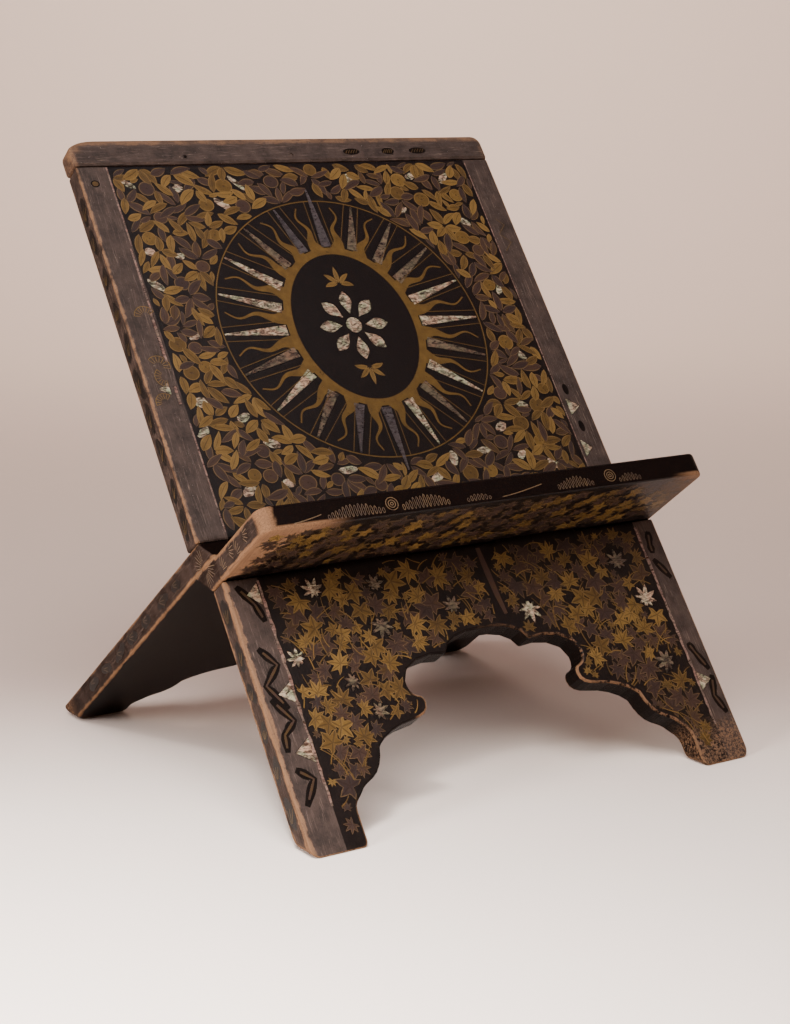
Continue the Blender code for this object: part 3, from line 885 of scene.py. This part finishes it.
def panel_field():
    """Pearl chips first, then fruits, then leaves wherever there is room."""
    rng = random.Random(11)
    canvas = Canvas(PANEL, (-135, 14), (135, PANEL_TOP), panel_keep)
    chips = Plates("panel_pearl_chips", PANEL, PEARL_BRIGHT, "mother_of_pearl")
    for across, up, radius, stretch, turn in PANEL_CHIPS:
        rim = chip_rim(rng, (across, up), radius * CHIP_SCALE, stretch, math.radians(turn))
        level = canvas.level(rim, 0.2)
        if level is not None:
            chips.fan((across, up), rim, 0.5, level)
    fruits = Plates("panel_fruits", PANEL, FRUIT)
    fruits_on(rng, canvas, fruits, 85, (4.4, 6.2), 0.55, 0.0)
    leaves = Plates("panel_leaves", PANEL, LEAF)
    sprigs(rng, canvas, leaves, 2400, (10.5, 16.5), (2.1, 3.4), 0.5, 0.34)
    sprigs(rng, canvas, leaves, 1700, (6.5, 10.5), (1.4, 2.3), 0.45, 0.30)


def ring_point(radii, angle, extra=0.0):
    """A point on the sun's oval, or some way outside it."""
    return (
        SUN_CENTRE[0] + (radii[0] + extra) * math.cos(angle),
        SUN_CENTRE[1] + (radii[1] + extra) * math.sin(angle),
    )


FLAME_TIP = 90
FLAME_SWAY = 2.7
FLAME_WAVES = 1.6


def flame_path(angle, side):
    """A wavy flame from the ring outwards, its rib and its half widths."""
    steps = 22
    start = ring_point(RING_OUTER, angle, -1.5)
    end = polar(SUN_CENTRE, FLAME_TIP, angle)
    run, rise = end[0] - start[0], end[1] - start[1]
    length = math.hypot(run, rise)
    path, widths = [], []
    for i in range(steps + 1):
        t = i / steps
        sway = side * FLAME_SWAY * math.sin(FULL_TURN * FLAME_WAVES * t) * t ** 0.5
        path.append((start[0] + run * t - rise / length * sway, start[1] + rise * t + run / length * sway))
        widths.append(0.45 + 4.6 * (1 - t) ** 3.2 + 0.7 * (1 - t))
    return path, widths


def sun():
    """The ring, flames and lines round the CAD's rays, and two sprays by the rosette."""
    steps = 120
    ring = Plates("sun_ring", PANEL, LINE)
    middle = tuple((a + b) / 2 + 0.35 for a, b in zip(OVAL, RING_OUTER))
    ring.ribbon(circle(SUN_CENTRE, middle, steps), 2.35, 0.72, 1, closed=True)
    thin = tuple(a + 0.4 for a in OVAL)
    ring.ribbon(circle(SUN_CENTRE, thin, steps), 0.35, 0.65, 0, closed=True)
    ring.ribbon(circle(SUN_CENTRE, (SUN_RADIUS - 0.3,) * 2, 160), 0.4, 0.7, 0, closed=True)
    flames = Plates("sun_flames", PANEL, LINE)
    lines = Plates("sun_ray_lines", PANEL, LINE)
    for i in range(SUN_RAYS):
        ray = FULL_TURN * i / SUN_RAYS
        flames.ribbon(*flame_path(ray + math.pi / SUN_RAYS, 1 if i % 2 else -1), 0.7, 0)
        for side in (-1, 1):
            start = ring_point(RING_OUTER, ray + side * math.radians(6.2), 2.2)
            end = polar(SUN_CENTRE, SUN_RADIUS - 0.9, ray + side * math.radians(3.1))
            middle = ((start[0] + end[0]) / 2, (start[1] + end[1]) / 2)
            lines.ribbon([start, middle, end], 0.24, 0.62, 2)
    sprays = Plates("rosette_sprays", PANEL, LEAF)
    for side in (-1, 1):
        root = (ROSETTE[0], ROSETTE[1] + side * 30)
        for k in range(5):
            angle = side * math.pi / 2 + math.radians((k - 2) * 38)
            shape = leaf_shape(polar(root, 1.5, angle), angle, 12 - 1.5 * abs(k - 2), 1.7, 0.2 * (k - 2))
            sprays.ribbon(*shape, 0.85, 0)


# ---------------------------------------------------------------- borders

def fan_strokes(plates, centre, radius, turn, spread, count, tone, arc_too=True):
    """Short lines that spread from a point like a fan, often with an arc round their ends."""
    for k in range(count):
        angle = turn + spread * (k / (count - 1) - 0.5)
        path = [polar(centre, radius * step, angle) for step in (0.4, 0.7, 1.0)]
        plates.ribbon(path, [0.16, 0.22, 0.16], tone, 2)
    if arc_too:
        arc = [polar(centre, radius, turn + spread * (k / 10 - 0.5)) for k in range(11)]
        plates.ribbon(arc, 0.25, tone, 0)


def band(plates, gilt, knots, half_width):
    """A black zigzag band with a gold hairline down its middle."""
    path = []
    for first, second in zip(knots, knots[1:]):
        for k in range(4):
            t = k / 4
            path.append((first[0] + (second[0] - first[0]) * t, first[1] + (second[1] - first[1]) * t))
    path.append(knots[-1])
    widths = [half_width * (0.78 + 0.34 * math.sin(2.3 * k) ** 2) for k in range(len(path))]
    widths[0] = widths[-1] = half_width * 0.6
    plates.ribbon(path, widths, 0, 0)
    gilt.ribbon(path[1:-1], [width * 0.27 for width in widths[1:-1]], 0.36, 3)


# Zigzag bands in the borders of the front legs: their corners from above to below
BANDS = (
    ((-148, -20), (-140, -32), (-137, -43)),
    ((-147, -58), (-138.5, -69), (-149, -80), (-140, -95)),
    ((-149, -88), (-139.5, -102), (-147.5, -109), (-149, -119)),
    ((-148, -129), (-139, -136), (-148, -150)),
    ((147.5, -24), (145.0, -33), (144.5, -39)),
    ((143.0, -43), (151.0, -57)),
    ((143.0, -101), (145.5, -108), (151.0, -120)),
    ((151.0, -124), (146.5, -137), (151.0, -149)),
)
# Pale lines at the panel's borders, worn and partly a painted highlight along each raised line: across, heights,
# half width and tone
PALE_LINES = (
    (-134.9, (274, 255, 235, 216), 0.55, 1),
    (-136.1, (214, 200, 185, 169), 0.6, 1),
    (-134.9, (92, 70, 45, 20), 0.5, 1),
    (134.9, (272, 200, 120, 30), 0.35, 0.5),
)
# Gold fans in the panel's left border: middle, radius and turn in degrees
BORDER_FANS = (((-141, 166), 7, 100), ((-143, 131), 7.5, 60), ((-141, 124), 6.5, 200), ((-146, 107), 6, 120))
BORDER_PEG = (-145.6, 262)


def borders():
    """What is drawn in the worn borders of the panel and of the front legs."""
    gilt = Plates("panel_border_gilding", PANEL, LINE)
    pale = Plates("panel_pale_lines", PANEL, PALE_LINE)
    cut = Plates("panel_border_chips", PANEL, CUT_BLACK)
    for across, ups, half_width, tone in PALE_LINES:
        pale.ribbon([(across, up) for up in ups], half_width, tone, 0)
    for centre, radius, turn in BORDER_FANS:
        fan_strokes(gilt, centre, radius, math.radians(turn), math.radians(150), 8, 0.8)
    gilt.ribbon([(140, 199), (147, 206), (140, 213), (147, 220), (142, 225)], 0.35, 0.5, 0)
    for centre in ((142, 90), (141, 78), (143, 62)):
        cut.fan(centre, circle(centre, (2.2, 4.2), 12), 0, 0)
    cut.fan(BORDER_PEG, circle(BORDER_PEG, (3.0, 2.6), 12), 0, 0)
    gilt.fan(BORDER_PEG, circle(BORDER_PEG, (2.1, 1.8), 12), 0.5, 2)

    leg_gilt = Plates("leg_border_gilding", LEGS, LINE)
    leg_cut = Plates("leg_zigzag_bands", LEGS, CUT_BLACK)
    leg_pale = Plates("leg_pale_lines", LEGS, PALE_LINE)
    for knots in BANDS:
        band(leg_cut, leg_gilt, knots, 2.6)
    # Pale lines down the legs' borders, partly worn and partly a painted highlight along the ridge
    for across, first, seed in ((LEG_FIELD[0] - 0.2, -18, 11), (LEG_FIELD[1] + 0.3, -20, 12)):
        rng = random.Random(seed)
        path = [(across + rng.uniform(-0.3, 0.3), first - 3.45 * k) for k in range(40)]
        leg_pale.ribbon(path, [rng.uniform(0.5, 1.25) for _ in path], 1, 0)


# ---------------------------------------------------------------- maple leaves

def maples(rng, canvas, plates, tries, radii, gold_share, overlap):
    """Maple leaves at random, some of them gold."""
    for _ in range(tries):
        centre = random_place(rng, canvas)
        radius = rng.uniform(*radii)
        rim, across = maple_shape(centre, radius, rng.uniform(0, FULL_TURN), rng.choice((5, 7, 7)))
        level = canvas.level(rim, overlap)
        if level is None:
            continue
        gold = rng.random() < gold_share
        tone = rng.uniform(0.55, 1.0) if gold else rng.uniform(0.0, 0.36)
        plates.fan(centre, rim, tone, level, across)


def stems(rng, canvas, plates, tries, lengths, overlap, heading, spread):
    """Long bent stalks."""
    for _ in range(tries):
        i, j = rng.choice(canvas.open)
        angle = heading + rng.uniform(-spread, spread)
        length = rng.uniform(*lengths)
        bend = rng.uniform(-0.5, 0.5)
        path = [polar((i, j), length * k / 7, angle + bend * k / 7) for k in range(8)]
        widths = [0.38 - 0.03 * k for k in range(len(path))]
        level = canvas.level(sides(path, widths), overlap)
        if level is not None:
            plates.ribbon(path, widths, rng.uniform(0.6, 0.95), level)


def leg_keep(u, v):
    """Between the borders of the front legs, below the lip, and not on the old split."""
    return LEG_FIELD[0] + 1.2 < u < LEG_FIELD[1] - 1.2 and v < -17 and not 15 < u < 21


def leg_field():
    """Maples and their stalks on the front legs, on both sides of an old split."""
    rng = random.Random(23)
    canvas = Canvas(LEGS, (-134, -165), (139, -17), leg_keep)
    leaves = Plates("leg_gold_maples", LEGS, MAPLE)
    stalks = Plates("leg_stalks", LEGS, LINE)
    maples(rng, canvas, leaves, 900, (7.5, 10.5), 0.45, 0.25)
    maples(rng, canvas, leaves, 1200, (5.5, 7.5), 0.5, 0.3)
    stems(rng, canvas, stalks, 110, (10, 24), 0.75, math.pi / 2, 0.9)
    maples(rng, canvas, leaves, 700, (3.2, 4.6), 0.5, 0.25)
    stems(rng, canvas, stalks, 260, (6, 14), 0.9, math.pi / 2, 1.3)
    ridge = Plates("leg_old_split", LEGS, LINE)
    line = [(17.2, -18), (17.9, -34), (18.8, -50), (20.2, -62)]
    ridge.ribbon(line, [1.5, 2.1, 1.8, 1.2], 0.3, 0)


# Reeds on the top edge of the lip: middle of the group, how many, height and brightness
LIP_REEDS = (
    (-96, 15, 8.0, 0.6),
    (-50, 13, 8.5, 0.7),
    (-14, 7, 4.5, 0.45),
    (56, 11, 7.5, 0.6),
    (97, 7, 5.5, 0.4),
)
REED_SPACING = 2.5
REED_FOOT = -13.2
LIP_RINGS = ((-72, -8.4), (83, -8.4))
# Thin strokes on the same edge: first and last across, then first and last depth
LIP_STROKES = ((-136, -118, -12.6, -9.4), (2, 32, -13.0, -8.2))


def lip_outer_keep(u, v):
    return abs(u) < 152 and 17 < v < 74.5


def lip_faces():
    """Maples on the lip's outer face, reeds and rings on its edge, and fans at its ends."""
    rng = random.Random(37)
    canvas = Canvas(LIP_OUTER, (-152, 17), (152, 75), lip_outer_keep)
    leaves = Plates("lip_outer_maples", LIP_OUTER, MAPLE)
    maples(rng, canvas, leaves, 1000, (6.0, 9.5), 0.42, 0.2)
    maples(rng, canvas, leaves, 700, (3.5, 5.5), 0.45, 0.2)

    strokes = Plates("lip_edge_fringe", LIP_EDGE, GILT)
    for middle, count, tall, tone in LIP_REEDS:
        for k in range(count):
            place = k - (count - 1) / 2
            height = tall * (0.35 + 0.65 * math.cos(place / count * math.pi)) * rng.uniform(0.85, 1.0)
            centre = (middle + place * REED_SPACING, REED_FOOT + height / 2)
            rim = circle(centre, (0.7, height / 2), 12)
            shade = tone * rng.uniform(0.4, 1.1)
            strokes.ribbon([*rim, *rim[:2]], [rng.uniform(0.1, 0.26) for _ in range(14)], shade, 0)
    for centre in LIP_RINGS:
        for radius in (0.9, 2.3, 3.9):
            rim = circle(centre, (radius, radius), 16)
            strokes.ribbon([*rim, *rim[:2]], 0.22, 0.7, 2)
    for first, last, low, high in LIP_STROKES:
        path = [(first + (last - first) * k / 6, low + (high - low) * (k / 6) ** 1.3) for k in range(7)]
        strokes.ribbon(path, 0.24, 0.6, 1)

    for name, face, side in (("lip_left_end_fans", LIP_LEFT, 1), ("lip_right_end_fans", LIP_RIGHT, -1)):
        fans = Plates(name, face, GILT)
        for across, up, turn in ((10.4, 17, 120), (4.2, 30, 72), (10.6, 38, 118), (4.4, 50, 75)):
            turn = math.radians(turn if side > 0 else 180 - turn)
            fan_strokes(fans, (side * across, up), 8.6, turn, 1.2, 5, 0.6, arc_too=False)


def lozenges(name, face, ups, tone, half_width, seed):
    """Dark worn patches with gold hatching down the edge of a board."""
    rng = random.Random(seed)
    dark = Plates(name + "_patches", face, CUT_BLACK)
    gilt = Plates(name + "_hatching", face, LINE)
    for middle, up, tall in ups:
        up += rng.uniform(-2.5, 2.5)
        tall *= rng.uniform(0.7, 1.25)
        slant = rng.uniform(-0.25, 0.25)
        rim, corners = [], 14
        for k in range(corners):
            angle = FULL_TURN * k / corners
            reach = half_width * rng.uniform(0.55, 1.0)
            v = tall * math.sin(angle)
            rim.append((middle + reach * math.cos(angle) + slant * v, up + v))
        if not all(face.flat(u, v) for u, v in rim):
            continue
        dark.fan((middle, up), rim, 0, 0)
        root = (middle - half_width * 0.4, up - tall * 0.75)
        for k in range(5):
            angle = math.radians(48 + 18 * k)
            path = [polar(root, tall * step, angle - 0.12 * step) for step in (0.25, 0.65, 1.05)]
            if all(inside(u, v, rim) for u, v in path):
                gilt.ribbon(path, [0.2, 0.25, 0.18], tone, 3)


def knuckle_fans(name, face):
    """Lines round the hinge on the end of an outer knuckle, which belongs to the lip leaf."""
    plates = Plates(name, face, GILT)
    count = 30
    for k in range(count):
        angle = FULL_TURN * k / count
        path = [polar((0, 0), radius, angle) for radius in (4.2, 8.0, 12.5 - 1.5 * (k % 2))]
        if face.flat(*path[0]) and face.flat(*path[-1]):
            plates.ribbon(path, [0.14, 0.2, 0.14], 0.4 + 0.25 * (k % 3 == 0), 0)


EDGE_MIDDLE = 7.6


def mirrored(marks):
    return [(-across, up, tall) for across, up, tall in marks]


def board_edges():
    """Patches, from above to below, in the middle of each board's edges, and the knuckle fans."""
    upper = [(-EDGE_MIDDLE, up, 9.0) for up in range(30, 270, 24)]
    lower = [(EDGE_MIDDLE, up, 8.0) for up in range(-34, -150, -23)]
    rear = [(-EDGE_MIDDLE, up, 9.0) for up in range(-40, -205, -25)]
    lozenges("rest_left", REST_LEFT, upper + lower, 0.55, 4.8, 5)
    lozenges("rest_right", REST_RIGHT, mirrored(upper + lower), 0.5, 4.8, 6)
    lozenges("rear_left", LIP_LEFT, rear, 0.4, 4.6, 7)
    lozenges("rear_right", LIP_RIGHT, mirrored(rear), 0.4, 4.6, 8)
    knuckle_fans("lip_knuckle_left_fan", LIP_LEFT)
    knuckle_fans("lip_knuckle_right_fan", LIP_RIGHT)


RAIL_CHIP_HEIGHT = 283
NAIL_HOLE = (-78, 281)


def rail():
    """Chips with a little gold left in them, and an old nail hole, drawn as a dark disc that is painted shade for
    the hole.
    """
    cut = Plates("rail_chips", PANEL, CUT_BLACK, "rail_lacquer")
    gilt = Plates("rail_gilding", PANEL, LINE, "rail_lacquer")
    for across, reach in ((47, 6.5), (76, 5.0), (100, 7.0)):
        centre = (across, RAIL_CHIP_HEIGHT)
        cut.fan(centre, circle(centre, (reach, 2.6), 14), 0, 0)
        for k in range(5):
            u = across - reach * 0.6 + k * reach * 0.3
            slash = [(u + du, RAIL_CHIP_HEIGHT + dv) for du, dv in ((-0.8, -1.4), (0, 0), (1.2, 1.3))]
            gilt.ribbon(slash, 0.2, 0.55, 3)
    # Painted shade: a flat dark disc where the nail hole is
    cut.fan(NAIL_HOLE, circle(NAIL_HOLE, (0.9, 0.9), 10), 0, 0)


# The faces that face away: name, face, half width, lowest edge and lowest middle of a leaf,
# highest edge, number of leaves to try and seed
PLAIN_FACES = (
    ("back_panel", PANEL_BACK, 128, 24, 24, 258, 60, 41),
    ("rear_leg", REAR_OUTER, 130, -240, -190, -24, 45, 43),
    ("lip_inner", LIP_INNER, 146, 20, 20, 72, 45, 47),
)


def plain_faces():
    """Sparse maple leaves and stalks on plain lacquer."""
    for name, face, half, low, first, high, tries, seed in PLAIN_FACES:
        def keep(u, v):
            return abs(u) < half and low < v < high

        rng = random.Random(seed)
        canvas = Canvas(face, (-half, first), (half, high), keep)
        leaves = Plates(name + "_maples", face, MAPLE)
        maples(rng, canvas, leaves, tries, (6.5, 9.5), 0.5, 0.0)
        stalks = Plates(name + "_stalks", face, LINE)
        stems(rng, canvas, stalks, 40, (14, 30), 0.1, math.pi / 2, 0.8)


dress_nodes()
for part in (panel_field, sun, borders, leg_field, lip_faces, board_edges, rail, plain_faces):
    part()
for plates in ALL_PLATES:
    plates.build()

# ---------------------------------------------------------------- camera, studio and lights

# From the hinge to the point the camera looks at and from there to the camera, in millimetres,
# and how the camera stands, all as the photo shows the stand
CAMERA_TARGET = Vector((-13.8, 19.3, 57.6))
CAMERA_DISTANCE = 1191.3
AZIMUTH, ELEVATION, ROLL = (math.radians(angle) for angle in (-32.636, 8.748, -0.676))

camera = bpy.data.objects.new("camera", bpy.data.cameras.new("camera"))
camera.matrix_world = (
    Matrix.Translation(HINGE + CAMERA_TARGET * MM)
    @ Matrix.Rotation(AZIMUTH, 4, "Z")
    @ Matrix.Rotation(math.pi / 2 - ELEVATION, 4, "X")
    @ Matrix.Rotation(ROLL, 4, "Z")
    @ Matrix.Translation((0, 0, CAMERA_DISTANCE * MM))
)
camera.data.lens = 68.94
camera.data.sensor_width = 36
camera.data.shift_y = -0.0703
camera.data.clip_start = 0.05
bpy.context.scene.collection.objects.link(camera)
bpy.context.scene.camera = camera


def studio_material():
    """Paper that gets darker behind the stand, along the way that the photo looks: painted light in front and
    painted shade behind.
    """
    s = Shader("studio_paper_painted_falloff")
    place = s.object_place()
    x, y, _ = s.split(place)
    # Painted light and shade: pale paper in front of the stand and darker paper behind it, in place of light that
    # falls off
    depth = s.scaled(x, 0.53, s.times(y, 0.85))
    colour = s.mix(s.between(depth, 0.18, -0.18), paint(192, 174, 164), paint(246, 234, 224))
    colour = s.mix(s.times(s.noise(place, 2.0, 2), 0.1), colour, paint(180, 164, 154))
    return s.finish(colour, 0.95, s.noise(place, 60.0, 2), 0.02)


def studio():
    """A round sweep of pale paper, so that every view has the same floor and wall."""
    floor, bend, wall, steps, bend_steps = 2.2, 1.2, 4.0, 96, 16
    profile = [(0.0, 0.0)] + [(floor * k / 4, 0.0) for k in range(1, 5)]
    for k in range(1, bend_steps + 1):
        angle = math.pi / 2 * k / bend_steps
        profile.append((floor + bend * math.sin(angle), bend * (1 - math.cos(angle))))
    profile.append((floor + bend, wall))
    points, faces = [(0, 0, 0)], []
    for radius, height in profile[1:]:
        points += [(u, v, height) for u, v in circle((0, 0), (radius, radius), steps)]
    for i in range(steps):
        j = (i + 1) % steps
        faces.append((0, 1 + i, 1 + j))
        for ring in range(len(profile) - 2):
            a, b = 1 + ring * steps, 1 + (ring + 1) * steps
            faces.append((a + i, b + i, b + j, a + j))
    mesh = bpy.data.meshes.new("studio_sweep")
    mesh.from_pydata(points, [], faces)
    mesh.materials.append(studio_material())
    mesh.polygons.foreach_set("use_smooth", [True] * len(mesh.polygons))
    sweep = bpy.data.objects.new("studio_sweep", mesh)
    bpy.context.scene.collection.objects.link(sweep)


def light(kind, name, place, target, energy, colour, **settings):
    """A lamp that points at its target and that the camera doesn't see."""
    data = bpy.data.lights.new(name, kind)
    data.energy, data.color = energy, colour
    for key, value in settings.items():
        setattr(data, key, value)
    lamp = bpy.data.objects.new(name, data)
    lamp.location = place
    lamp.visible_camera = False
    lamp.rotation_euler = (Vector(target) - Vector(place)).to_track_quat("-Z", "Y").to_euler()
    bpy.context.scene.collection.objects.link(lamp)


def softbox(name, place, target, size, energy, colour):
    light("AREA", name, place, target, energy, colour, shape="DISK", size=size)


WARM, AMBER, PALE = (1.0, 0.94, 0.90), (1.0, 0.89, 0.78), (1.0, 0.96, 0.95)

studio()
softbox("key_softbox", (-0.55, -0.85, 1.55), (-0.2, -0.3, 0), 1.3, 44, WARM)
softbox("wall_light", (1.1, 1.8, 2.5), (1.9, 3.0, 1.1), 1.2, 118, AMBER)
softbox("side_fill", (-1.9, -0.2, 0.9), (0, 0, 0.15), 0.8, 34, PALE)
# A soft-edged pool of light on the floor in front of the stand
pool = {"spot_size": math.radians(38), "spot_blend": 1.0, "shadow_soft_size": 0.25}
light("SPOT", "floor_pool", (-0.95, -0.75, 1.7), (-0.60, -0.46, 0), 700, WARM, **pool)
world = bpy.data.worlds.new("studio_air")
world.use_nodes = True
air = world.node_tree.nodes["Background"]
air.inputs["Color"].default_value = paint(196, 190, 240)
air.inputs["Strength"].default_value = 0.19
bpy.context.scene.world = world
